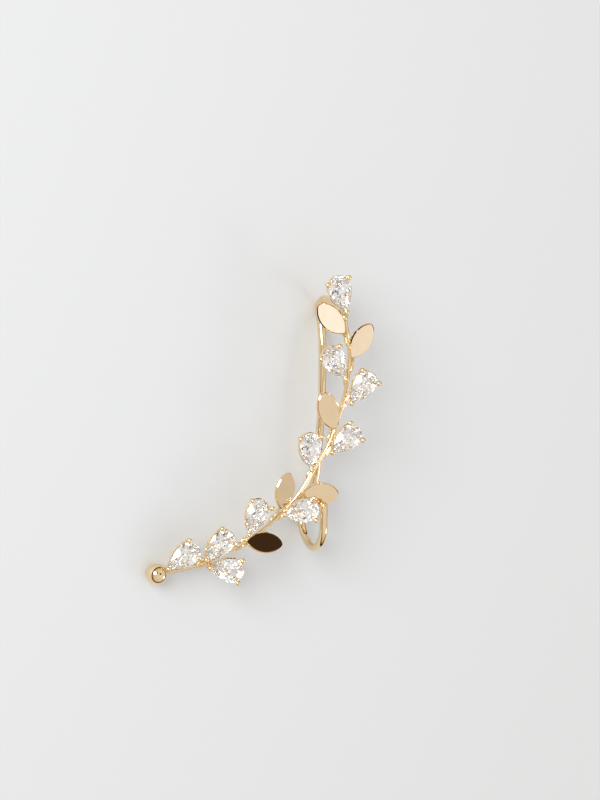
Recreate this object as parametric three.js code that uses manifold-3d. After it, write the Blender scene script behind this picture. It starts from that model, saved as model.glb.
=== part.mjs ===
// Ear cuff: a curved stem carrying leaves and pear-cut stones, with an ear wire behind it.
// Millimetres, +Z up. The cuff lies on its back, stones up, as it rests on a table.
//
// Everything is first laid out in the "vine frame": x across the ear, y up along the ear,
// z out of the ear towards the stones, with the stem's centreline in the plane z = 0.
import * as THREE from "three";
import { mergeVertices } from "three/addons/utils/BufferGeometryUtils.js";
import Module from "manifold-3d";

const wasm = await Module();
wasm.setup();

// ---- Driving dimensions ----
const STONE_WIDTH = 3.8;
const STONE_LENGTH = 5.7;
const STONE_FACETS = 16;
const GIRDLE_HEIGHT = 1.95; // girdle plane above the stem's centreline
const GIRDLE_THICKNESS = 0.14;
const CROWN_HEIGHT = 0.6;
const PAVILION_DEPTH = 1.6;
const TABLE_SHARE = 0.58; // table outline as a share of the girdle outline
const CULET_Y = -0.6; // the facets run together here, below the middle of the round end
const SEAT_GAP = 0.1; // room between a stone and the metal round it

const PRONG_DIAMETER = 0.62;
const BEAD_DIAMETER = 1;
const BEAD_RISE = 0.3; // bead centre above the girdle plane
const PRONG_OUTSET = 0.34; // bead centre outside the girdle outline
const SHOULDER_ANGLE = 58; // degrees from the middle of the round end to a shoulder prong
const RAIL_DIAMETER = 0.45;
const RAIL_DROP = 0.7; // gallery rail below the girdle plane
const RAIL_SHARE = 0.94; // gallery rail outline as a share of the girdle outline
const BASE_SHARE = 0.5; // base ring outline as a share of the girdle outline
const BASE_HEIGHT = 0.1; // base ring above the stem's centreline

const STEM_DIAMETER = 0.85;
const STALK_DIAMETER = 0.65;
const STALK_BACKSTEP = 1.6; // a stalk leaves the stem this far before its nearest point
const LEAF_REACH = 0.36; // a stalk ends this share of the length below the middle of its leaf
const LEAF_THICKNESS = 0.55;
const LEAF_BEVEL = 0.14;
const BALL_DIAMETER = 3.5;

const WIRE_DIAMETER = 1.42; // across the corners of its eight sides, 1.3 across the flats
const WIRE_STEPS = 60;
const RING_RADIUS = 4.9; // centreline of the open ring at the wire's lower end
const RING_X = 4.65;
const RING_CENTRE = { y: -4.95, z: -5.1 };
const WIRE_END_Y = -1.9; // the free end stops here, close behind the lower leaf

// ---- Layout, vine frame ----
// Stem centreline, from the ball to the top stone.
const STEM_POINTS = [
  { x: -23.7, y: -10.2 },
  { x: -19.9, y: -9.9 },
  { x: -15.4, y: -9 },
  { x: -10.4, y: -7.1 },
  { x: -6.4, y: -5.1 },
  { x: -3, y: -2.6 },
  { x: 0.2, y: 0.4 },
  { x: 2.9, y: 4.3 },
  { x: 5.6, y: 8.5 },
  { x: 7.5, y: 13.5 },
  { x: 8.7, y: 18.9 },
  { x: 8.9, y: 23.3 },
  { x: 8.2, y: 28 },
];

// Stones, top to ball: the middle of the setting and the heading of its round end, in degrees
// from +x.
const STONES = [
  { x: 6.8, y: 32.2, heading: 106 },
  { x: 6.1, y: 21.2, heading: 121 },
  { x: 10.1, y: 17, heading: 51 },
  { x: 7.3, y: 8.8, heading: 36 },
  { x: 1.6, y: 7.4, heading: 91 },
  { x: -0.3, y: -1.9, heading: 4 },
  { x: -7.8, y: -2.4, heading: 65 },
  { x: -14.2, y: -6.4, heading: 41 },
  { x: -20.2, y: -7.6, heading: 31 },
  { x: -13, y: -10.1, heading: -13 },
];

// Leaves, top to ball: middle of the blade, heading of its tip, length, width, and its turn
// about its own length, in degrees.
const LEAVES = [
  { x: 5.4, y: 28.5, z: 0.9, heading: 133, length: 6.7, width: 3.6, roll: 2 },
  { x: 10.6, y: 24.6, z: 0.8, heading: 57, length: 6.3, width: 3.5, roll: -2 },
  { x: 5.1, y: 13.7, z: 0.6, heading: 109, length: 6.5, width: 3.7, roll: 6 },
  { x: -2.4, y: 1.4, z: 0.7, heading: 76, length: 5.9, width: 3.5, roll: 10 },
  { x: 4.4, y: -0.3, z: -1.4, heading: -4, length: 6.6, width: 3.9, roll: 4 },
  { x: -5.9, y: -6.7, z: 0.6, heading: -9, length: 6.4, width: 3.4, roll: -14 },
];

// ---- At rest ----
// On its back the cuff touches the table at the ball, the ring and the top bend of the wire.
// REST_UP is the direction of the vine frame that then points up, and REST_SHIFT brings the
// middle of the footprint to the origin and the three touching points to z = 0.
const REST_UP = new THREE.Vector3(0.3, -0.052, 0.952).normalize();
const REST_SHIFT = new THREE.Vector3(5.98, -11.43, 8.44);

const goldPlate = () => new THREE.MeshStandardMaterial({ color: 0xd9b36c, roughness: 0.12, metalness: 1 });
const clearStone = () => new THREE.MeshStandardMaterial({ color: 0xf4f4f6, roughness: 0.02, metalness: 0 });

// ---- Solids ----
function toManifold(geometry) {
  const plain = geometry.clone();
  plain.deleteAttribute("normal");
  plain.deleteAttribute("uv");
  const merged = mergeVertices(plain, 1e-4);
  const vertProperties = new Float32Array(merged.attributes.position.array);
  const triVerts = new Uint32Array(merged.index.array);
  return new wasm.Manifold(new wasm.Mesh({ numProp: 3, vertProperties, triVerts }));
}

function toGeometry(manifold) {
  const mesh = manifold.getMesh();
  const geometry = new THREE.BufferGeometry();
  geometry.setAttribute("position", new THREE.BufferAttribute(new Float32Array(mesh.vertProperties), 3));
  geometry.setIndex(new THREE.BufferAttribute(new Uint32Array(mesh.triVerts), 1));
  geometry.computeVertexNormals();
  return geometry;
}

// A round rod along a curve, its ends cut square.
function rod(curve, diameter, steps, sides) {
  const section = new THREE.Shape();
  for (let i = 0; i < sides; i += 1) {
    const angle = (i / sides) * 2 * Math.PI;
    const x = (diameter / 2) * Math.cos(angle);
    const y = (diameter / 2) * Math.sin(angle);
    if (i === 0) section.moveTo(x, y);
    else section.lineTo(x, y);
  }
  section.closePath();
  return new THREE.ExtrudeGeometry(section, { steps, bevelEnabled: false, extrudePath: curve });
}

function bead(centre, diameter, around, rings) {
  return new THREE.SphereGeometry(diameter / 2, around, rings).translate(centre.x, centre.y, centre.z);
}

// ---- Pear outline: a half circle at the round end and two side arcs that meet in a point ----
const PEAR_RADIUS = STONE_WIDTH / 2;
const PEAR_POINT = STONE_LENGTH - PEAR_RADIUS;
const SIDE_RADIUS = (PEAR_POINT ** 2 + PEAR_RADIUS ** 2) / (2 * PEAR_RADIUS);
const SIDE_SWEEP = Math.asin(PEAR_POINT / SIDE_RADIUS);

// Point and outward normal of the outline; turn 0 is the middle of the round end, ±pi the point.
function pear(turn) {
  const side = Math.sign(turn) || 1;
  const size = Math.abs(turn);
  if (size <= Math.PI / 2) {
    const normal = new THREE.Vector2(Math.sin(turn), Math.cos(turn));
    return { point: normal.clone().multiplyScalar(PEAR_RADIUS), normal };
  }
  const sweep = (size / (Math.PI / 2) - 1) * SIDE_SWEEP;
  const x = side * (PEAR_RADIUS - SIDE_RADIUS + SIDE_RADIUS * Math.cos(sweep));
  const point = new THREE.Vector2(x, -SIDE_RADIUS * Math.sin(sweep));
  const atPoint = size > Math.PI - 1e-4;
  const normal = new THREE.Vector2(atPoint ? 0 : side * Math.cos(sweep), atPoint ? -1 : -Math.sin(sweep));
  return { point, normal };
}

// Bends a turned shape from a circle to the pear outline. place(radius, turn) gives x and y.
function bendToPear(geometry, place) {
  const position = geometry.attributes.position;
  for (let i = 0; i < position.count; i += 1) {
    const radius = Math.hypot(position.getX(i), position.getZ(i));
    const turn = Math.atan2(position.getX(i), position.getZ(i));
    const spot = place(radius, turn);
    position.setXYZ(i, -spot.x, spot.y, position.getY(i));
  }
  return geometry;
}

// The stone, or with a gap the room that the metal leaves for it. z = 0 is the girdle plane.
function stoneGeometry(gap) {
  const half = GIRDLE_THICKNESS / 2;
  const profile = [
    new THREE.Vector2(0, -PAVILION_DEPTH - gap),
    new THREE.Vector2(1, -half - gap / 2),
    new THREE.Vector2(1, half + gap / 2),
    new THREE.Vector2(TABLE_SHARE, CROWN_HEIGHT + gap),
    new THREE.Vector2(0, CROWN_HEIGHT + gap),
  ];
  const culet = new THREE.Vector2(0, CULET_Y);
  return bendToPear(new THREE.LatheGeometry(profile, STONE_FACETS), (share, turn) => {
    const { point, normal } = pear(turn);
    return point.addScaledVector(normal, gap).sub(culet).multiplyScalar(share).add(culet);
  });
}

// A thin ring that follows the pear outline at a share of its size.
function pearRing(share, diameter, height, segments) {
  const sides = 4;
  const profile = [];
  for (let i = 0; i <= sides; i += 1) {
    const angle = (i / sides) * 2 * Math.PI;
    const radius = 1 + (diameter / 2) * Math.cos(angle);
    profile.push(new THREE.Vector2(radius, height + (diameter / 2) * Math.sin(angle)));
  }
  const culet = new THREE.Vector2(0, CULET_Y);
  return bendToPear(new THREE.LatheGeometry(profile, segments), (radius, turn) => {
    const { point, normal } = pear(turn);
    return point.sub(culet).multiplyScalar(share).add(culet).addScaledVector(normal, radius - 1);
  });
}

// A prong stands on the base ring, leans out past the gallery rail and ends in a bead.
function prong(turn) {
  const edge = pear(turn);
  const culet = new THREE.Vector2(0, CULET_Y);
  const foot = edge.point.clone().sub(culet).multiplyScalar(BASE_SHARE).add(culet);
  const head = edge.point.clone().addScaledVector(edge.normal, PRONG_OUTSET);
  const base = new THREE.Vector3(foot.x, foot.y, BASE_HEIGHT - GIRDLE_HEIGHT);
  const lean = new THREE.Vector3(head.x, head.y, BEAD_RISE).sub(base);
  const rise = lean.length();
  const radius = PRONG_DIAMETER / 2;
  const bulge = BEAD_DIAMETER / 2;
  const profile = [
    new THREE.Vector2(0, 0),
    new THREE.Vector2(radius, 0),
    new THREE.Vector2(radius, rise - bulge),
    new THREE.Vector2(bulge, rise - bulge * 0.35),
    new THREE.Vector2(bulge * 0.85, rise + bulge * 0.35),
    new THREE.Vector2(0, rise + bulge * 0.8),
  ];
  const upright = new THREE.Vector3(0, 1, 0);
  const turnOut = new THREE.Quaternion().setFromUnitVectors(upright, lean.normalize());
  return new THREE.LatheGeometry(profile, 6).applyQuaternion(turnOut).translate(base.x, base.y, base.z);
}

function settingGeometries() {
  const shoulder = THREE.MathUtils.degToRad(SHOULDER_ANGLE);
  return [
    pearRing(RAIL_SHARE, RAIL_DIAMETER, -RAIL_DROP, STONE_FACETS),
    pearRing(BASE_SHARE, RAIL_DIAMETER * 1.2, BASE_HEIGHT - GIRDLE_HEIGHT, STONE_FACETS / 2),
    prong(shoulder),
    prong(-shoulder),
    prong(Math.PI),
  ];
}

// Moves a stone or setting from its own frame to its place on the vine.
const SETTING_MIDDLE = (PEAR_RADIUS * Math.cos(THREE.MathUtils.degToRad(SHOULDER_ANGLE)) - PEAR_POINT) / 2;
function stoneMatrix(row) {
  const matrix = new THREE.Matrix4().makeTranslation(row.x, row.y, GIRDLE_HEIGHT);
  matrix.multiply(new THREE.Matrix4().makeRotationZ(THREE.MathUtils.degToRad(row.heading - 90)));
  return matrix.multiply(new THREE.Matrix4().makeTranslation(0, -SETTING_MIDDLE, 0));
}

// A flat pointed blade between two equal arcs, with a small bevel. Its length lies along y.
function leafGeometry(row) {
  const halfLength = row.length / 2 - LEAF_BEVEL;
  const halfWidth = row.width / 2 - LEAF_BEVEL;
  const radius = (halfLength ** 2 + halfWidth ** 2) / (2 * halfWidth);
  const sweep = Math.asin(halfLength / radius);
  const outline = new THREE.Shape();
  outline.absarc(halfWidth - radius, 0, radius, -sweep, sweep, false);
  outline.absarc(radius - halfWidth, 0, radius, Math.PI - sweep, Math.PI + sweep, false);
  const depth = LEAF_THICKNESS - 2 * LEAF_BEVEL;
  const bevel = { bevelEnabled: true, bevelSize: LEAF_BEVEL, bevelThickness: LEAF_BEVEL, bevelSegments: 1 };
  const blade = new THREE.ExtrudeGeometry(outline, { depth, curveSegments: 5, ...bevel });
  blade.translate(0, 0, -depth / 2);
  blade.rotateY(THREE.MathUtils.degToRad(row.roll));
  blade.rotateZ(THREE.MathUtils.degToRad(row.heading - 90));
  return blade.translate(row.x, row.y, row.z);
}

const stemCurve = new THREE.CatmullRomCurve3(STEM_POINTS.map((row) => new THREE.Vector3(row.x, row.y, 0)));

// A stalk leaves the stem before its nearest point, runs along it and turns up to its target.
function stalk(target) {
  const samples = 240;
  const spots = stemCurve.getSpacedPoints(samples);
  let nearest = 0;
  spots.forEach((spot, i) => {
    if (spot.distanceTo(target) < spots[nearest].distanceTo(target)) nearest = i;
  });
  const step = Math.round((STALK_BACKSTEP / stemCurve.getLength()) * samples);
  const root = spots[Math.max(nearest - step, 1)];
  const middle = spots[nearest].clone().lerp(target, 0.35);
  return rod(new THREE.QuadraticBezierCurve3(root, middle, target), STALK_DIAMETER, 3, 5);
}

function stoneStalk(row) {
  const foot = new THREE.Vector3(0, -PEAR_POINT * BASE_SHARE, BASE_HEIGHT - GIRDLE_HEIGHT);
  return stalk(foot.applyMatrix4(stoneMatrix(row)));
}

function leafStalk(row) {
  const heading = THREE.MathUtils.degToRad(row.heading);
  const reach = row.length * LEAF_REACH;
  const x = row.x - reach * Math.cos(heading);
  const y = row.y - reach * Math.sin(heading);
  return stalk(new THREE.Vector3(x, y, row.z));
}

// The ear wire: back from the top of the stem over a round bend, straight down behind the stem,
// then round the open ring and up to a free rounded end.
function wireGeometries() {
  const ringPoint = (degrees) => {
    const angle = THREE.MathUtils.degToRad(degrees);
    const y = RING_CENTRE.y + RING_RADIUS * Math.sin(angle);
    return new THREE.Vector3(RING_X, y, RING_CENTRE.z + RING_RADIUS * Math.cos(angle));
  };
  const route = [
    new THREE.Vector3(8, 28.4, 0),
    new THREE.Vector3(7.6, 29.6, -2),
    new THREE.Vector3(7.5, 30.35, -5.4),
    new THREE.Vector3(7.45, 30, -7.6),
    new THREE.Vector3(7.4, 28.4, -8.9),
    new THREE.Vector3(7.5, 25.6, -8.2),
    new THREE.Vector3(7.35, 22, -7.3),
    new THREE.Vector3(7.1, 13.8, -7),
    new THREE.Vector3(6.6, 6, -7.1),
    new THREE.Vector3(6.3, 1.2, -7.6),
    new THREE.Vector3(5.9, -2, -8.7),
    new THREE.Vector3(5.2, -4.6, -9.8),
    ringPoint(200),
    ringPoint(235),
    ringPoint(270),
    ringPoint(305),
    ringPoint(340),
    ringPoint(365),
    new THREE.Vector3(RING_X, WIRE_END_Y, RING_CENTRE.z + RING_RADIUS),
  ];
  const wire = new THREE.CatmullRomCurve3(route);
  return [rod(wire, WIRE_DIAMETER, WIRE_STEPS, 8), bead(route.at(-1), WIRE_DIAMETER, 8, 6)];
}

// ---- Assembly ----
const metalPieces = [
  rod(stemCurve, STEM_DIAMETER, 30, 6),
  bead(stemCurve.getPoint(0), BALL_DIAMETER, 18, 12),
  ...wireGeometries(),
  ...LEAVES.map(leafGeometry),
  ...LEAVES.map(leafStalk),
  ...STONES.map(stoneStalk),
  ...STONES.flatMap((row) => settingGeometries().map((piece) => piece.applyMatrix4(stoneMatrix(row)))),
];
let metal = toManifold(metalPieces[0]);
metalPieces.slice(1).forEach((piece) => {
  metal = metal.add(toManifold(piece));
});
STONES.forEach((row) => {
  metal = metal.subtract(toManifold(stoneGeometry(SEAT_GAP).applyMatrix4(stoneMatrix(row))));
});

const vine = new THREE.Group();
const metalwork = new THREE.Mesh(toGeometry(metal), goldPlate());
metalwork.name = "gold_frame";
vine.add(metalwork);
STONES.forEach((row, i) => {
  const stone = new THREE.Mesh(stoneGeometry(0), clearStone());
  stone.name = `stone_${String(i + 1).padStart(2, "0")}`;
  stone.applyMatrix4(stoneMatrix(row));
  vine.add(stone);
});

vine.quaternion.setFromUnitVectors(REST_UP, new THREE.Vector3(0, 0, 1));
vine.position.copy(REST_SHIFT);

const earCuff = new THREE.Group();
earCuff.add(vine);
export default earCuff;
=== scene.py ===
"""Ear cuff: fine surfaces, settings, faceted stones and finishes, built round the part's frame.

Sizes are in millimetres in the "vine frame": x across the ear, y up along the ear, z out of the
ear towards the stones, with the stem's centreline in the plane z = 0.
"""

from math import asin, cos, pi, radians, sin
from types import SimpleNamespace

import bmesh
import bpy
from bpy.props import FloatProperty, FloatVectorProperty, PointerProperty
from mathutils import Matrix, Vector


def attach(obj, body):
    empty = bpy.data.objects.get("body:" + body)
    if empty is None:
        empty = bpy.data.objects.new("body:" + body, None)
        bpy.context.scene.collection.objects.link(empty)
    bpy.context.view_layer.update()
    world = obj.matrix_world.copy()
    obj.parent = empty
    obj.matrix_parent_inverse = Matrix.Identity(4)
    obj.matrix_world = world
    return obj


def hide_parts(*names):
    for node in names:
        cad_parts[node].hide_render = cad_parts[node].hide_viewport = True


bl_info = {
    "name": "Vine Ear Cuff",
    "version": (1, 0, 0),
    "blender": (4, 5, 0),
    "location": "View3D > Sidebar > Ear Cuff",
    "description": "Builds a gold-plated vine ear cuff with pear-cut stones",
    "category": "Object",
}

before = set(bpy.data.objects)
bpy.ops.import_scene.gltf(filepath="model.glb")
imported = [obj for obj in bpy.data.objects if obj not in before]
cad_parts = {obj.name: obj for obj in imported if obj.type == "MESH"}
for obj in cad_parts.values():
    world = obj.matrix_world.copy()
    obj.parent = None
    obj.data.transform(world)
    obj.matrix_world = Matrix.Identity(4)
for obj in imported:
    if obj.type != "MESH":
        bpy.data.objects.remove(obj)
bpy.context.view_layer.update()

MM = 0.001
UP = Vector((0, 0, 1))

# ---- Layout, the same as the part's ----
# The cuff lies on its ball, its ring and the top bend of its wire. REST_UP is the direction of
# the vine frame that then points up, and REST_SHIFT centres the cuff and sets it on the floor.
REST_UP = Vector((0.3, -0.052, 0.952)).normalized()
REST_SHIFT = Vector((5.98, -11.43, 8.44))
STEM_POINTS = (
    (-23.7, -10.2), (-19.9, -9.9), (-15.4, -9), (-10.4, -7.1), (-6.4, -5.1), (-3, -2.6),
    (0.2, 0.4), (2.9, 4.3), (5.6, 8.5), (7.5, 13.5), (8.7, 18.9), (8.9, 23.3), (8.2, 28),
)
# Stones, top to ball: middle of the setting and heading of its round end.
STONE_KEYS = ("x", "y", "heading")
STONES = [dict(zip(STONE_KEYS, row)) for row in (
    (6.8, 32.2, 106),
    (6.1, 21.2, 121),
    (10.1, 17, 51),
    (7.3, 8.8, 36),
    (1.6, 7.4, 91),
    (-0.3, -1.9, 4),
    (-7.8, -2.4, 65),
    (-14.2, -6.4, 41),
    (-20.2, -7.6, 31),
    (-13, -10.1, -13),
)]
# Leaves, top to ball: middle of the blade, heading of its tip, length, width and its turn about
# its own length.
LEAF_KEYS = ("x", "y", "z", "heading", "length", "width", "roll")
LEAVES = [dict(zip(LEAF_KEYS, row)) for row in (
    (5.4, 28.5, 0.9, 133, 6.7, 3.6, 2),
    (10.6, 24.6, 0.8, 57, 6.3, 3.5, -2),
    (5.1, 13.7, 0.6, 109, 6.5, 3.7, 6),
    (-2.4, 1.4, 0.7, 76, 5.9, 3.5, 10),
    (4.4, -0.3, -1.4, -4, 6.6, 3.9, 4),
    (-5.9, -6.7, 0.6, -9, 6.4, 3.4, -14),
)]
# The open ring's centre and radius, and how far up the wire's free end goes.
RING_X = 4.65
RING_Y = -4.95
RING_Z = -5.1
RING_RADIUS = 4.9
WIRE_END_Y = -1.9
# Ear wire, from the stem's top to where the open ring begins.
WIRE_POINTS = (
    (8, 28.4, 0), (7.6, 29.6, -2), (7.5, 30.35, -5.4), (7.45, 30, -7.6),
    (7.4, 28.4, -8.9), (7.5, 25.6, -8.2), (7.35, 22, -7.3), (7.1, 13.8, -7),
    (6.6, 6, -7.1), (6.3, 1.2, -7.6), (5.9, -2, -8.7), (5.2, -4.6, -9.8),
)
RING_ANGLES = (200, 235, 270, 305, 340, 365)
SHOULDER = 58  # degrees from the middle of a stone's round end to a shoulder prong


# ---- Stage ----
TARGET = (0.51, 15.7, 0.0)  # the point of the vine's plane in the middle of the view
# The room's colour from the horizon to overhead.
ROOM_BANDS = (
    (0.0, "#4A3222"), (0.02, "#1E120A"), (0.15, "#1E120A"), (0.2, "#D09A66"), (0.34, "#EBD3B4"),
    (0.55, "#F6F1EC"), (1.0, "#FFFFFF"),
)
ROOM_STRENGTH = 0.82
# Cards and boards that a leaf mirrors to the camera: the leaf's place in LEAVES, radius and soft
# edge in degrees, brightness.
LEAF_CARDS = (
    (0, 2.2, 4.9, (1.4, 1.5, 1.8)),
    (3, 5.0, 3.0, (0.84, 0.82, 0.8)),
    (5, 9.0, 3.0, (0.06, 0.035, 0.02)),
)
# One more dark board, above the vine's left: its direction in the vine frame, then the same.
DARK_BOARD = ((-0.233, 0.487, 0.84), 10.0, 3.0, (0.06, 0.04, 0.025))
# Lamps: direction in the world, distance and size in metres, power in watts.
LAMPS = (
    ("key_light", (-0.86, 0.5, 0.58), 0.9, 0.5, 6.0),
    ("back_light", (0.8, -0.5, 0.6), 0.9, 0.3, 0.7),
)


# ---- Sizes and colours that a user would change ----
def length_property(name, description, millimetres):
    return FloatProperty(name=name, description=description, unit="LENGTH", default=millimetres * MM)


def angle_property(name, description, degrees):
    return FloatProperty(name=name, description=description, subtype="ANGLE", default=radians(degrees))


class MetalSizes(bpy.types.PropertyGroup):
    """Thicknesses of the metalwork."""

    stem: length_property("Stem", "Thickness of the stem", 0.66)
    stalk: length_property("Stalk", "Thickness of a stalk", 0.52)
    wire: length_property("Ear wire", "Thickness of the ear wire", 1.3)
    ball: length_property("Ball", "Diameter of the end ball", 3.4)
    prong: length_property("Prong", "Thickness of a prong", 0.5)
    bead: length_property("Bead", "Diameter of a prong's bead", 0.88)
    knuckle: length_property("Knuckle", "Diameter of a solder knuckle under a setting", 0.95)
    rail: length_property("Rail", "Thickness of the gallery rail", 0.34)
    leaf: length_property("Leaf", "Thickness of a leaf", 0.65)
    leaf_bevel: length_property("Leaf bevel", "Width of the bevel round a leaf", 0.15)


class StoneSizes(bpy.types.PropertyGroup):
    """Sizes of the pear-cut stones."""

    width: length_property("Width", "Width of a stone", 3.8)
    length: length_property("Length", "Length of a stone", 5.7)
    crown: length_property("Crown", "Height of the crown", 0.6)
    pavilion: length_property("Pavilion", "Depth of the pavilion", 1.6)
    girdle: length_property("Girdle", "Thickness of the girdle", 0.12)
    lift: length_property("Lift", "Girdle above the stem's centreline", 1.95)
    table: FloatProperty(
        name="Table", description="Table as a share of the girdle", subtype="FACTOR", default=0.5)


class StageLook(bpy.types.PropertyGroup):
    """Camera and floor."""

    rise: angle_property("Rise", "Camera above the vine's front", 12.0)
    turn: angle_property("Turn", "Camera to the vine's left", 22.0)
    distance: length_property("Distance", "Camera to the cuff", 450.1)
    lens: FloatProperty(name="Lens", description="Focal length", unit="CAMERA", default=128.5)
    floor: FloatVectorProperty(
        name="Floor", description="Colour of the floor", subtype="COLOR", default=(0.742, 0.778, 0.808))


def sizes_of(group_name):
    """A group's values by name, its lengths turned from metres to millimetres."""
    group = getattr(bpy.context.scene, group_name)
    values = {}
    for name, annotation in group.__annotations__.items():
        length = annotation.keywords.get("unit") == "LENGTH"
        values[name] = getattr(group, name) / (MM if length else 1)
    return SimpleNamespace(**values)


# ---- Colours and nodes ----
def linear(code):
    """An sRGB hex colour as linear RGBA."""
    def channel(value):
        return value / 12.92 if value <= 0.04045 else ((value + 0.055) / 1.055) ** 2.4
    return tuple(channel(int(code[i:i + 2], 16) / 255) for i in (1, 3, 5)) + (1.0,)


def add_node(tree, kind, values=None, links=None, **attributes):
    """Adds one node, sets its attributes and inputs, and links other nodes' outputs into it."""
    node = tree.nodes.new(kind)
    for name, value in attributes.items():
        setattr(node, name, value)
    for name, value in (values or {}).items():
        node.inputs[name].default_value = value
    for name, output in (links or {}).items():
        tree.links.new(output, node.inputs[name])
    return node


def new_material(name):
    material = bpy.data.materials.get(name) or bpy.data.materials.new(name)
    material.use_nodes = True
    material.node_tree.nodes.clear()
    return material, material.node_tree


def gold_plating(name="polished_gold_plating", light="#F8E0BC", deep="#F2D4AA"):
    """Brass with a polished pale gold plating: a mirror with faint hand-polishing unevenness."""
    material, tree = new_material(name)
    place = add_node(tree, "ShaderNodeTexCoord")
    # Hand polishing leaves waves about 1.5 mm long. Its hairlines are about 0.01 mm apart, too
    # fine to show, and are drawn 0.25 mm apart.
    waves = add_node(tree, "ShaderNodeTexNoise", {"Scale": 1 / (1.5 * MM), "Detail": 2.0},
                     {"Vector": place.outputs["Object"]})
    hairlines = add_node(tree, "ShaderNodeTexNoise", {"Scale": 1 / (0.25 * MM), "Detail": 4.0},
                         {"Vector": place.outputs["Object"]})
    rough = add_node(tree, "ShaderNodeMapRange", {"To Min": 0.03, "To Max": 0.08},
                     {"Value": hairlines.outputs["Fac"]})
    tint = add_node(tree, "ShaderNodeMix", {"A": linear(light), "B": linear(deep)},
                    {"Factor": waves.outputs["Fac"]}, data_type="RGBA")
    bump = add_node(tree, "ShaderNodeBump", {"Strength": 0.05, "Distance": 0.02 * MM},
                    {"Height": waves.outputs["Fac"]})
    shader = add_node(tree, "ShaderNodeBsdfPrincipled", {"Metallic": 1.0},
                      {"Base Color": tint.outputs["Result"], "Roughness": rough.outputs["Result"],
                       "Normal": bump.outputs["Normal"]})
    add_node(tree, "ShaderNodeOutputMaterial", {}, {"Surface": shader.outputs["BSDF"]})
    return material


def wire_plating():
    """The same plating in a deeper tint, for the stem, the ball, the wire and the settings."""
    return gold_plating("deep_gold_plating", "#F8E6C2", "#EED2A0")


def zirconia():
    """Colourless cubic zirconia, cut and polished: clear, with a high index and bright facets."""
    material, tree = new_material("cut_cubic_zirconia")
    shader = add_node(tree, "ShaderNodeBsdfPrincipled",
                      {"Base Color": linear("#FFFFFF"), "Roughness": 0.0, "IOR": 2.16,
                       "Transmission Weight": 1.0})
    add_node(tree, "ShaderNodeOutputMaterial", {}, {"Surface": shader.outputs["BSDF"]})
    return material


def plain_floor():
    """Matt pale board."""
    material, tree = new_material("matt_pale_board")
    shader = add_node(tree, "ShaderNodeBsdfPrincipled",
                      {"Base Color": (*bpy.context.scene.cuff_stage.floor, 1.0), "Roughness": 0.7})
    add_node(tree, "ShaderNodeOutputMaterial", {}, {"Surface": shader.outputs["BSDF"]})
    return material


# ---- Placing ----
def vine_matrix():
    """From the vine frame in millimetres to the resting cuff in metres."""
    turn = REST_UP.rotation_difference(UP).to_matrix().to_4x4()
    return Matrix.Scale(MM, 4) @ Matrix.Translation(REST_SHIFT) @ turn


def turned(axis, degrees):
    return Matrix.Rotation(radians(degrees), 4, axis)


def stone_matrix(row):
    """From a stone's own frame, girdle at z = 0 and round end along +y, to the vine frame."""
    sizes = sizes_of("cuff_stones")
    radius = sizes.width / 2
    middle = (radius * cos(radians(SHOULDER)) - (sizes.length - radius)) / 2
    place = Matrix.Translation((row["x"], row["y"], sizes.lift)) @ turned("Z", row["heading"] - 90)
    return place @ Matrix.Translation((0, -middle, 0))


def leaf_matrix(row):
    place = Matrix.Translation((row["x"], row["y"], row["z"]))
    return place @ turned("Z", row["heading"] - 90) @ turned("Y", row["roll"])


def camera_axes():
    """The camera's right, up and back in the vine frame: above the vine's front, to its left."""
    look = sizes_of("cuff_stage")
    across = Vector((cos(look.turn), 0, sin(look.turn)))
    away = Vector((-sin(look.turn), 0, cos(look.turn)))
    up = Vector((0, cos(look.rise), 0)) - away * sin(look.rise)
    back = away * cos(look.rise) + Vector((0, sin(look.rise), 0))
    return across, up, back


def camera_place():
    """The camera in the vine frame."""
    return Vector(TARGET) + camera_axes()[2] * sizes_of("cuff_stage").distance


def mirrored(row):
    """The direction, in the vine frame, of what a leaf mirrors to the camera."""
    place = leaf_matrix(row)
    normal = place.to_3x3() @ UP
    towards = (camera_place() - place.translation).normalized()
    return normal * (2 * normal.dot(towards)) - towards


SHARP_ANGLE = 35  # degrees between two faces from which their edge stays sharp


def finish_piece(name, bm, material, nodes, smooth=True):
    """Turns a bmesh in the vine frame into a finished piece that stands for CAD nodes."""
    bmesh.ops.remove_doubles(bm, verts=bm.verts[:], dist=1e-4)
    bmesh.ops.recalc_face_normals(bm, faces=bm.faces[:])
    bmesh.ops.transform(bm, matrix=vine_matrix(), verts=bm.verts[:])
    for face in bm.faces:
        face.smooth = smooth and len(face.verts) <= 4
    for edge in bm.edges:
        edge.smooth = edge.calc_face_angle(0) < radians(SHARP_ANGLE)
    mesh = bpy.data.meshes.new(name)
    bm.to_mesh(mesh)
    bm.free()
    mesh.materials.append(material)
    piece = bpy.data.objects.new(name, mesh)
    bpy.context.scene.collection.objects.link(piece)
    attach(piece, "root")
    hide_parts(*nodes)


# ---- Swept rods ----
def smooth_route(points, steps):
    """A curve through the points, with so many steps to each stretch."""
    points = [Vector(point) for point in points]
    route = []
    for i in range(len(points) - 1):
        before = points[max(i - 1, 0)]
        start, end = points[i], points[i + 1]
        after = points[min(i + 2, len(points) - 1)]
        for step in range(steps):
            t = step / steps
            pull = (end - before) * (t - 2 * t * t + t ** 3) + (after - start) * (t ** 3 - t * t)
            route.append(start * (1 - 3 * t * t + 2 * t ** 3) + end * (3 * t * t - 2 * t ** 3) + pull / 2)
    route.append(points[-1])
    return route


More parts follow.
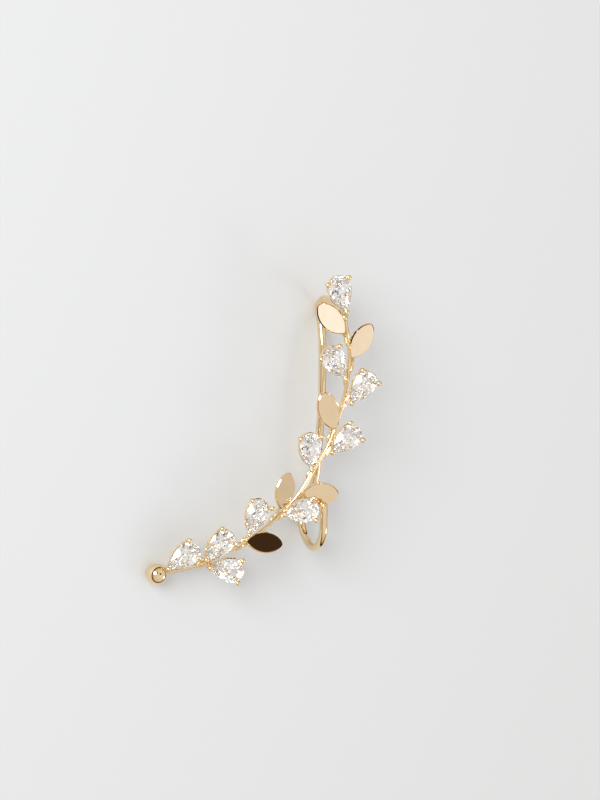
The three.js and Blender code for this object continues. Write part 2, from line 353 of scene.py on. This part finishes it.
def rounded_ends(route, radii):
    """Adds sections that close a rod's ends with half balls."""
    turns = [radians(angle) for angle in (25, 48, 68, 84)]
    away = (route[0] - route[1]).normalized()
    route = [route[0] + away * radii[0] * sin(t) for t in reversed(turns)] + route
    radii = [radii[0] * cos(t) for t in reversed(turns)] + radii
    away = (route[-1] - route[-2]).normalized()
    last, size = route[-1], radii[-1]
    route += [last + away * size * sin(t) for t in turns]
    radii += [size * cos(t) for t in turns]
    return route, radii


def sweep(bm, route, radii, sides=16, closed=False):
    """Extrudes a ring of edges from section to section along a route."""
    count = len(route)
    if closed:
        tangents = [(route[(i + 1) % count] - route[i - 1]).normalized() for i in range(count)]
    else:
        tangents = [(route[min(i + 1, count - 1)] - route[max(i - 1, 0)]).normalized()
                    for i in range(count)]
    turn = tangents[0].to_track_quat("Z", "Y")
    place = Matrix.Translation(route[0]) @ turn.to_matrix().to_4x4() @ Matrix.Scale(radii[0], 4)
    ring = bmesh.ops.create_circle(bm, cap_ends=False, radius=1.0, segments=sides, matrix=place)["verts"]
    edges = list({edge for vert in ring for edge in vert.link_edges})
    first = list(edges)
    for i in range(1, count):
        turn = tangents[i - 1].rotation_difference(tangents[i]) @ turn
        target = Matrix.Translation(route[i]) @ turn.to_matrix().to_4x4() @ Matrix.Scale(radii[i], 4)
        made = bmesh.ops.extrude_edge_only(bm, edges=edges)["geom"]
        ring = [item for item in made if isinstance(item, bmesh.types.BMVert)]
        fresh = set(ring)
        edges = [item for item in made if isinstance(item, bmesh.types.BMEdge) and set(item.verts) <= fresh]
        bmesh.ops.transform(bm, matrix=target @ place.inverted(), verts=ring)
        place = target
    if closed:
        bmesh.ops.bridge_loops(bm, edges=first + edges)
    else:
        bmesh.ops.contextual_create(bm, geom=first)
        bmesh.ops.contextual_create(bm, geom=edges)


def add_ball(bm, centre, diameter, around=24, rings=14, squash=1.0, turn=Matrix()):
    """Adds a ball, flattened along its own z by squash."""
    place = Matrix.Translation(centre) @ turn @ Matrix.Diagonal((1, 1, squash, 1))
    bmesh.ops.create_uvsphere(bm, u_segments=around, v_segments=rings, radius=diameter / 2, matrix=place)


# ---- Pear outline ----
CULET_Y = -0.6  # the facets run together here, below the middle of the round end


class Pear:
    """The girdle outline: a half circle and two side arcs that meet in a point at -y."""

    def __init__(self):
        sizes = sizes_of("cuff_stones")
        self.radius = sizes.width / 2
        self.reach = sizes.length - self.radius
        self.side = (self.reach ** 2 + self.radius ** 2) / (2 * self.radius)
        self.span = asin(self.reach / self.side)

    def at(self, turn):
        """Point and outward normal; turn 0 is the middle of the round end, ±pi the point."""
        sign = -1 if turn < 0 else 1
        size = abs(turn)
        if size <= pi / 2:
            normal = Vector((sin(turn), cos(turn), 0))
            return normal * self.radius, normal
        angle = (size / (pi / 2) - 1) * self.span
        across = self.radius - self.side + self.side * cos(angle)
        point = Vector((sign * across, -self.side * sin(angle), 0))
        if size > pi - 1e-4:
            return point, Vector((0, -1, 0))
        return point, Vector((sign * cos(angle), -sin(angle), 0))

    def inside(self, turn, share):
        point, normal = self.at(turn)
        centre = Vector((0, CULET_Y, 0))
        return centre + (point - centre) * share, normal


# ---- Stones ----
OUTLINE_STEPS = 64
# How far a half facet runs inwards, as a share of a main facet's run.
CROWN_HALF = 0.78
PAVILION_HALF = 0.88
# The star facets at the table: where they start, as a share of the table outline, and their lean.
STAR_SHARE = 0.93
STAR_LEAN = 2.4
# The lower facets of the pavilion: share of the girdle outline, share of the depth, and lean.
LOWER_SHARE = 0.45
LOWER_DEPTH = 0.585
LOWER_LEAN = 1.45


def cut(bm, point, normal):
    """Grinds one facet: takes away what lies outside the plane and closes the face."""
    geometry = bm.verts[:] + bm.edges[:] + bm.faces[:]
    result = bmesh.ops.bisect_plane(
        bm, geom=geometry, dist=1e-5, plane_co=point, plane_no=normal, clear_outer=True)
    edges = [item for item in result["geom_cut"] if isinstance(item, bmesh.types.BMEdge)]
    if len(edges) > 2:
        bmesh.ops.contextual_create(bm, geom=edges)


def facet(bm, pear, turn, height, run, rise):
    """Cuts a facet that leans in from the girdle: run inwards for a rise of so much."""
    point, normal = pear.at(turn)
    sign = 1 if rise > 0 else -1
    plane = Vector((normal.x * abs(rise), normal.y * abs(rise), sign * run)).normalized()
    cut(bm, Vector((point.x, point.y, sign * height)), plane)


def facet_run(pear, turn, share):
    """How far inwards the facet at this turn runs before it meets a share of the outline."""
    point, normal = pear.at(turn)
    centre = Vector((0, CULET_Y, 0))
    return (1 - share) * (point - centre).dot(normal)


def pear_brilliant():
    """A pear brilliant cut from a slab, with main and half facets above and below the girdle."""
    sizes = sizes_of("cuff_stones")
    pear = Pear()
    half = sizes.girdle / 2
    bm = bmesh.new()
    turns = [-pi + 2 * pi * i / OUTLINE_STEPS for i in range(OUTLINE_STEPS)]
    outline = [bm.verts.new(pear.at(turn)[0]) for turn in turns]
    base = bm.faces.new(outline)
    bmesh.ops.translate(bm, vec=(0, 0, -sizes.pavilion), verts=outline)
    made = bmesh.ops.extrude_face_region(bm, geom=[base])["geom"]
    top = [item for item in made if isinstance(item, bmesh.types.BMVert)]
    bmesh.ops.translate(bm, vec=(0, 0, sizes.pavilion + sizes.crown), verts=top)
    bmesh.ops.recalc_face_normals(bm, faces=bm.faces[:])
    mains = [k * pi / 4 for k in range(-3, 5)]
    halves = [(k + 0.5) * pi / 8 for k in range(-8, 8)]
    stars = [(k + 0.5) * pi / 4 for k in range(-4, 4)]
    for turn in mains:
        facet(bm, pear, turn, half, facet_run(pear, turn, sizes.table), sizes.crown - half)
        facet(bm, pear, turn, half, facet_run(pear, turn, 0), half - sizes.pavilion)
    for turn in halves:
        facet(bm, pear, turn, half, facet_run(pear, turn, sizes.table) * CROWN_HALF, sizes.crown - half)
        facet(bm, pear, turn, half, facet_run(pear, turn, 0) * PAVILION_HALF, half - sizes.pavilion)
    for turn in stars:
        point, normal = pear.inside(turn, sizes.table * STAR_SHARE)
        lean = Vector((normal.x, normal.y, STAR_LEAN)).normalized()
        cut(bm, Vector((point.x, point.y, sizes.crown)), lean)
        point, normal = pear.inside(turn, LOWER_SHARE)
        lean = Vector((normal.x, normal.y, -LOWER_LEAN)).normalized()
        cut(bm, Vector((point.x, point.y, -sizes.pavilion * LOWER_DEPTH)), lean)
    return bm


# ---- Settings ----
RAIL_SHARE = 0.94  # gallery rail outline as a share of the girdle outline
RAIL_DROP = 0.72  # gallery rail below the girdle plane
BASE_SHARE = 0.5  # base ring outline as a share of the girdle outline
BASE_HEIGHT = 0.15  # base ring above the stem's centreline
BASE_EXTRA = 1.15  # base ring thickness over the gallery rail's
# A prong's path from the base ring: share of the way out to the girdle, distance outside the
# girdle outline, height above the girdle plane.
PRONG_PATH = ((0.6, 0.0, -0.95), (1.0, 0.24, -0.4), (1.0, 0.36, 0.02), (1.0, 0.24, 0.32))
PRONG_FOOT = 0.05  # a prong starts this far above the stem's centreline
# A bead's centre outside the girdle outline and above the girdle plane, and how flat it is.
BEAD_OUTSET = 0.24
BEAD_RISE = 0.33
BEAD_SQUASH = 0.85
RAIL_STEPS = 40


def add_setting(bm, row):
    """Gallery rail, base ring and three prongs with beads, as one cast setting."""
    metal = sizes_of("cuff_metal")
    sizes = sizes_of("cuff_stones")
    pear = Pear()
    own = bmesh.new()
    turns = [-pi + 2 * pi * i / RAIL_STEPS for i in range(RAIL_STEPS)]
    rail = [pear.inside(turn, RAIL_SHARE)[0] + Vector((0, 0, -RAIL_DROP)) for turn in turns]
    sweep(own, rail, [metal.rail / 2] * RAIL_STEPS, 10, closed=True)
    drop = Vector((0, 0, BASE_HEIGHT - sizes.lift))
    base = [pear.inside(turn, BASE_SHARE)[0] + drop for turn in turns]
    sweep(own, base, [metal.rail / 2 * BASE_EXTRA] * RAIL_STEPS, 10, closed=True)
    for turn in (radians(SHOULDER), -radians(SHOULDER), pi):
        edge, normal = pear.at(turn)
        foot = pear.inside(turn, BASE_SHARE)[0]
        points = [foot + Vector((0, 0, PRONG_FOOT - sizes.lift))]
        for share, outset, height in PRONG_PATH:
            points.append(foot.lerp(edge, share) + normal * outset + Vector((0, 0, height)))
        route = smooth_route(points, 4)
        route, radii = rounded_ends(route, [metal.prong / 2] * len(route))
        sweep(own, route, radii, 12)
        centre = edge + normal * BEAD_OUTSET + Vector((0, 0, BEAD_RISE))
        add_ball(own, centre, metal.bead, 16, 10, squash=BEAD_SQUASH)
    bmesh.ops.transform(own, matrix=stone_matrix(row), verts=own.verts[:])
    join_bmesh(bm, own)


def join_bmesh(bm, other):
    """Adds another bmesh to this one and frees it."""
    mesh = bpy.data.meshes.new("scratch")
    other.to_mesh(mesh)
    other.free()
    bm.from_mesh(mesh)
    bpy.data.meshes.remove(mesh)


# ---- Stem, stalks, leaves, wire ----
def stem_route():
    return smooth_route([(x, y, 0) for x, y in STEM_POINTS], 12)


STALK_LEAD = 3.0  # a stalk joins the stem this far before its nearest point
STALK_SHIFT = 0.5  # and runs this far beside it
LEAF_REACH = 0.38  # a stalk ends this share of the length below the middle of its leaf
# Where a stalk meets its setting: along the stone's length and above the stem's centreline.
SEAT_Y = -1.9
SEAT_HEIGHT = 0.1
# Solder knuckles under a setting, in the stone's own frame.
KNUCKLES = ((-0.35, -2.5, -1.45), (0.1, -3.1, -1.3))


def add_stalk(bm, target, thickness):
    """A stalk that runs beside the stem for a while and then turns out to its target."""
    route = stem_route()
    nearest = min(range(len(route)), key=lambda i: (route[i] - target).length)
    length, root = 0.0, nearest
    while root > 1 and length < STALK_LEAD:
        length += (route[root] - route[root - 1]).length
        root -= 1
    along = (route[min(nearest + 1, len(route) - 1)] - route[nearest - 1]).normalized()
    side = along.cross(UP)
    if side.dot(target - route[nearest]) < 0:
        side = -side
    span = nearest - root
    points = [route[root]]
    points += [route[root + round(span * t)] + side * STALK_SHIFT for t in (0.25, 0.6)]
    points.append(target)
    curve = smooth_route(points, 6)
    curve, radii = rounded_ends(curve, [thickness / 2] * len(curve))
    sweep(bm, curve, radii, 12)


TIP_TRIM = 0.3  # the pointed outline is this much longer than the round-tipped leaf
TIP_REACH = 0.9  # the outline is rounded from here to the tip
TIP_PASSES = 4


def leaf_outline(bm, length, width):
    """Two arcs, each spun from a tip of the blade, closed into one face."""
    half, side = length / 2, width / 2
    radius = (half ** 2 + side ** 2) / (2 * side)
    for sign in (1, -1):
        tip = bm.verts.new((0, -half * sign, 0))
        bmesh.ops.spin(
            bm, geom=[tip], cent=(sign * (side - radius), 0, 0), axis=(0, 0, 1),
            angle=2 * asin(half / radius), steps=18, use_merge=False)
    bmesh.ops.remove_doubles(bm, verts=bm.verts[:], dist=1e-4)
    return bmesh.ops.contextual_create(bm, geom=bm.edges[:])["faces"][0]


def leaf_bmesh(row):
    """A flat polished blade with a narrow bevel round both faces."""
    metal = sizes_of("cuff_metal")
    bm = bmesh.new()
    face = leaf_outline(bm, row["length"] + TIP_TRIM, row["width"])
    bmesh.ops.translate(bm, vec=(0, TIP_TRIM / 2, 0), verts=bm.verts[:])
    near_tip = [vert for vert in bm.verts if vert.co.y > row["length"] / 2 - TIP_REACH]
    for _ in range(TIP_PASSES):
        bmesh.ops.smooth_vert(bm, verts=near_tip, factor=0.5, use_axis_x=True, use_axis_y=True)
    thick = metal.leaf
    bmesh.ops.translate(bm, vec=(0, 0, -thick / 2), verts=bm.verts[:])
    made = bmesh.ops.extrude_face_region(bm, geom=[face])["geom"]
    top = [item for item in made if isinstance(item, bmesh.types.BMVert)]
    bmesh.ops.translate(bm, vec=(0, 0, thick), verts=top)
    bmesh.ops.recalc_face_normals(bm, faces=bm.faces[:])
    rims = [edge for edge in bm.edges if len({round(vert.co.z, 3) for vert in edge.verts}) == 1]
    bmesh.ops.bevel(bm, geom=rims, offset=metal.leaf_bevel, offset_type="OFFSET", segments=1, profile=0.5,
                    affect="EDGES", material=-1)
    bmesh.ops.transform(bm, matrix=leaf_matrix(row), verts=bm.verts[:])
    return bm


def wire_route():
    points = [Vector(point) for point in WIRE_POINTS]
    for degrees in RING_ANGLES:
        angle = radians(degrees)
        points.append(Vector((RING_X, RING_Y + RING_RADIUS * sin(angle), RING_Z + RING_RADIUS * cos(angle))))
    points.append(Vector((RING_X, WIRE_END_Y, RING_Z + RING_RADIUS)))
    return smooth_route(points, 10)


# ---- Operators ----
class CUFF_OT_stage(bpy.types.Operator):
    """Make the floor, the light and the camera"""

    bl_idname = "cuff.stage"
    bl_label = "Stage"

    def execute(self, context):
        bm = bmesh.new()
        bmesh.ops.create_grid(bm, x_segments=1, y_segments=1, size=1.5)
        mesh = bpy.data.meshes.new("floor")
        bm.to_mesh(mesh)
        bm.free()
        mesh.materials.append(plain_floor())
        floor = bpy.data.objects.new("floor", mesh)
        context.scene.collection.objects.link(floor)
        self.light_world(context)
        self.add_lights(context)
        self.add_camera(context)
        # Light turns many times inside a cut stone before it leaves.
        context.scene.cycles.max_bounces = 24
        context.scene.cycles.glossy_bounces = 16
        context.scene.cycles.transmission_bounces = 16
        context.scene.view_settings.view_transform = "Standard"
        return {"FINISHED"}

    def light_world(self, context):
        """A room dark low down, warm above that and white overhead, with its cards and boards."""
        world = bpy.data.worlds.new("soft_room")
        world.use_nodes = True
        tree = world.node_tree
        tree.nodes.clear()
        place = add_node(tree, "ShaderNodeTexCoord")
        split = add_node(tree, "ShaderNodeSeparateXYZ", {}, {"Vector": place.outputs["Generated"]})
        ramp = add_node(tree, "ShaderNodeValToRGB", {}, {"Fac": split.outputs["Z"]})
        while len(ramp.color_ramp.elements) < len(ROOM_BANDS):
            ramp.color_ramp.elements.new(0.5)
        for element, (position, code) in zip(ramp.color_ramp.elements, ROOM_BANDS):
            element.position = position
            element.color = linear(code)
        colour = ramp.outputs["Color"]
        turn = vine_matrix().to_3x3().normalized()
        cards = [(mirrored(LEAVES[i]), *card) for i, *card in LEAF_CARDS]
        for direction, radius, edge, shade in (*cards, DARK_BOARD):
            towards = tuple(turn @ Vector(direction).normalized())
            near = add_node(tree, "ShaderNodeVectorMath", {1: towards}, {0: place.outputs["Generated"]},
                            operation="DOT_PRODUCT")
            share = add_node(tree, "ShaderNodeMapRange",
                             {"From Min": cos(radians(radius + edge)), "From Max": cos(radians(radius))},
                             {"Value": near.outputs["Value"]})
            mix = add_node(tree, "ShaderNodeMix", {"B": (*shade, 1.0)},
                           {"Factor": share.outputs["Result"], "A": colour}, data_type="RGBA")
            colour = mix.outputs["Result"]
        back = add_node(tree, "ShaderNodeBackground", {"Strength": ROOM_STRENGTH}, {"Color": colour})
        add_node(tree, "ShaderNodeOutputWorld", {}, {"Surface": back.outputs["Background"]})
        context.scene.world = world

    def add_lights(self, context):
        """A soft key light from the vine's upper left and a weak one from its lower right."""
        for name, direction, distance, size, power in LAMPS:
            light = bpy.data.lights.new(name, "AREA")
            light.shape = "DISK"
            light.size = size
            light.energy = power
            lamp = bpy.data.objects.new(name, light)
            away = Vector(direction).normalized()
            lamp.location = away * distance
            lamp.rotation_mode = "QUATERNION"
            lamp.rotation_quaternion = away.to_track_quat("Z", "Y")
            context.scene.collection.objects.link(lamp)

    def add_camera(self, context):
        """The camera keeps its angle to the cuff, which lies on its back."""
        vine = vine_matrix()
        turn = vine.to_3x3().normalized()
        axes = [(turn @ axis).normalized() for axis in camera_axes()]
        camera = bpy.data.cameras.new("camera")
        camera.lens = context.scene.cuff_stage.lens
        camera.clip_start, camera.clip_end = 0.01, 20
        holder = bpy.data.objects.new("camera", camera)
        basis = Matrix(axes).transposed().to_4x4()
        holder.matrix_world = Matrix.Translation(vine @ camera_place()) @ basis
        context.scene.collection.objects.link(holder)
        context.scene.camera = holder


class CUFF_OT_stem(bpy.types.Operator):
    """Make the stem, its stalks and the ball at its lower end"""

    bl_idname = "cuff.stem"
    bl_label = "Stem and ball"

    def execute(self, context):
        metal = sizes_of("cuff_metal")
        sizes = sizes_of("cuff_stones")
        gold = wire_plating()
        bm = bmesh.new()
        route = stem_route()
        route, radii = rounded_ends(route, [metal.stem / 2] * len(route))
        sweep(bm, route, radii, 16)
        for row in STONES:
            place = stone_matrix(row)
            add_stalk(bm, place @ Vector((0, SEAT_Y, SEAT_HEIGHT - sizes.lift)), metal.stalk)
            for spot in KNUCKLES:
                add_ball(bm, place @ Vector(spot), metal.knuckle, 16, 10)
        for row in LEAVES:
            heading = radians(row["heading"])
            reach = row["length"] * LEAF_REACH
            target = Vector((row["x"] - reach * cos(heading), row["y"] - reach * sin(heading), row["z"]))
            add_stalk(bm, target, metal.stalk)
        finish_piece("stem", bm, gold, ["gold_frame"])
        ball = bmesh.new()
        x, y = STEM_POINTS[0]
        add_ball(ball, Vector((x, y, 0)), metal.ball, 48, 28)
        finish_piece("end_ball", ball, gold, ["gold_frame"])
        return {"FINISHED"}


class CUFF_OT_leaves(bpy.types.Operator):
    """Make the leaves"""

    bl_idname = "cuff.leaves"
    bl_label = "Leaves"

    def execute(self, context):
        gold = gold_plating()
        for i, row in enumerate(LEAVES, 1):
            finish_piece(f"leaf_{i:02d}", leaf_bmesh(row), gold, ["gold_frame"])
        return {"FINISHED"}


class CUFF_OT_wire(bpy.types.Operator):
    """Make the ear wire with its open ring"""

    bl_idname = "cuff.wire"
    bl_label = "Ear wire"

    def execute(self, context):
        bm = bmesh.new()
        route = wire_route()
        route, radii = rounded_ends(route, [sizes_of("cuff_metal").wire / 2] * len(route))
        sweep(bm, route, radii, 24)
        finish_piece("ear_wire", bm, wire_plating(), ["gold_frame"])
        return {"FINISHED"}


class CUFF_OT_settings(bpy.types.Operator):
    """Make the prong settings"""

    bl_idname = "cuff.settings"
    bl_label = "Settings"

    def execute(self, context):
        gold = wire_plating()
        for i, row in enumerate(STONES, 1):
            bm = bmesh.new()
            add_setting(bm, row)
            finish_piece(f"setting_{i:02d}", bm, gold, ["gold_frame"])
        return {"FINISHED"}


class CUFF_OT_stones(bpy.types.Operator):
    """Cut the pear stones and set them"""

    bl_idname = "cuff.stones"
    bl_label = "Stones"

    def execute(self, context):
        clear = zirconia()
        master = pear_brilliant()
        for i, row in enumerate(STONES, 1):
            bm = master.copy()
            bmesh.ops.transform(bm, matrix=stone_matrix(row), verts=bm.verts[:])
            finish_piece(f"pear_stone_{i:02d}", bm, clear, [f"stone_{i:02d}"], smooth=False)
        master.free()
        return {"FINISHED"}


class CUFF_PT_panel(bpy.types.Panel):
    """Buttons and sizes of the ear cuff"""

    bl_idname = "CUFF_PT_panel"
    bl_label = "Ear Cuff"
    bl_space_type = "VIEW_3D"
    bl_region_type = "UI"
    bl_category = "Ear Cuff"

    def draw(self, context):
        for operator in OPERATORS:
            self.layout.operator(operator.bl_idname)
        for group in (context.scene.cuff_metal, context.scene.cuff_stones, context.scene.cuff_stage):
            box = self.layout.box()
            for name in group.__annotations__:
                box.prop(group, name)


GROUPS = {"cuff_metal": MetalSizes, "cuff_stones": StoneSizes, "cuff_stage": StageLook}
OPERATORS = (CUFF_OT_stage, CUFF_OT_stem, CUFF_OT_leaves, CUFF_OT_wire, CUFF_OT_settings, CUFF_OT_stones)


def register():
    for group in GROUPS.values():
        bpy.utils.register_class(group)
    for name, group in GROUPS.items():
        setattr(bpy.types.Scene, name, PointerProperty(type=group))
    for item in (*OPERATORS, CUFF_PT_panel):
        bpy.utils.register_class(item)


def unregister():
    for item in reversed((*OPERATORS, CUFF_PT_panel)):
        bpy.utils.unregister_class(item)
    for name in GROUPS:
        delattr(bpy.types.Scene, name)
    for group in reversed(GROUPS.values()):
        bpy.utils.unregister_class(group)


def main():
    register()
    for name in ("stage", "stem", "leaves", "wire", "settings", "stones"):
        getattr(bpy.ops.cuff, name)()


if __name__ == "__main__":
    main()
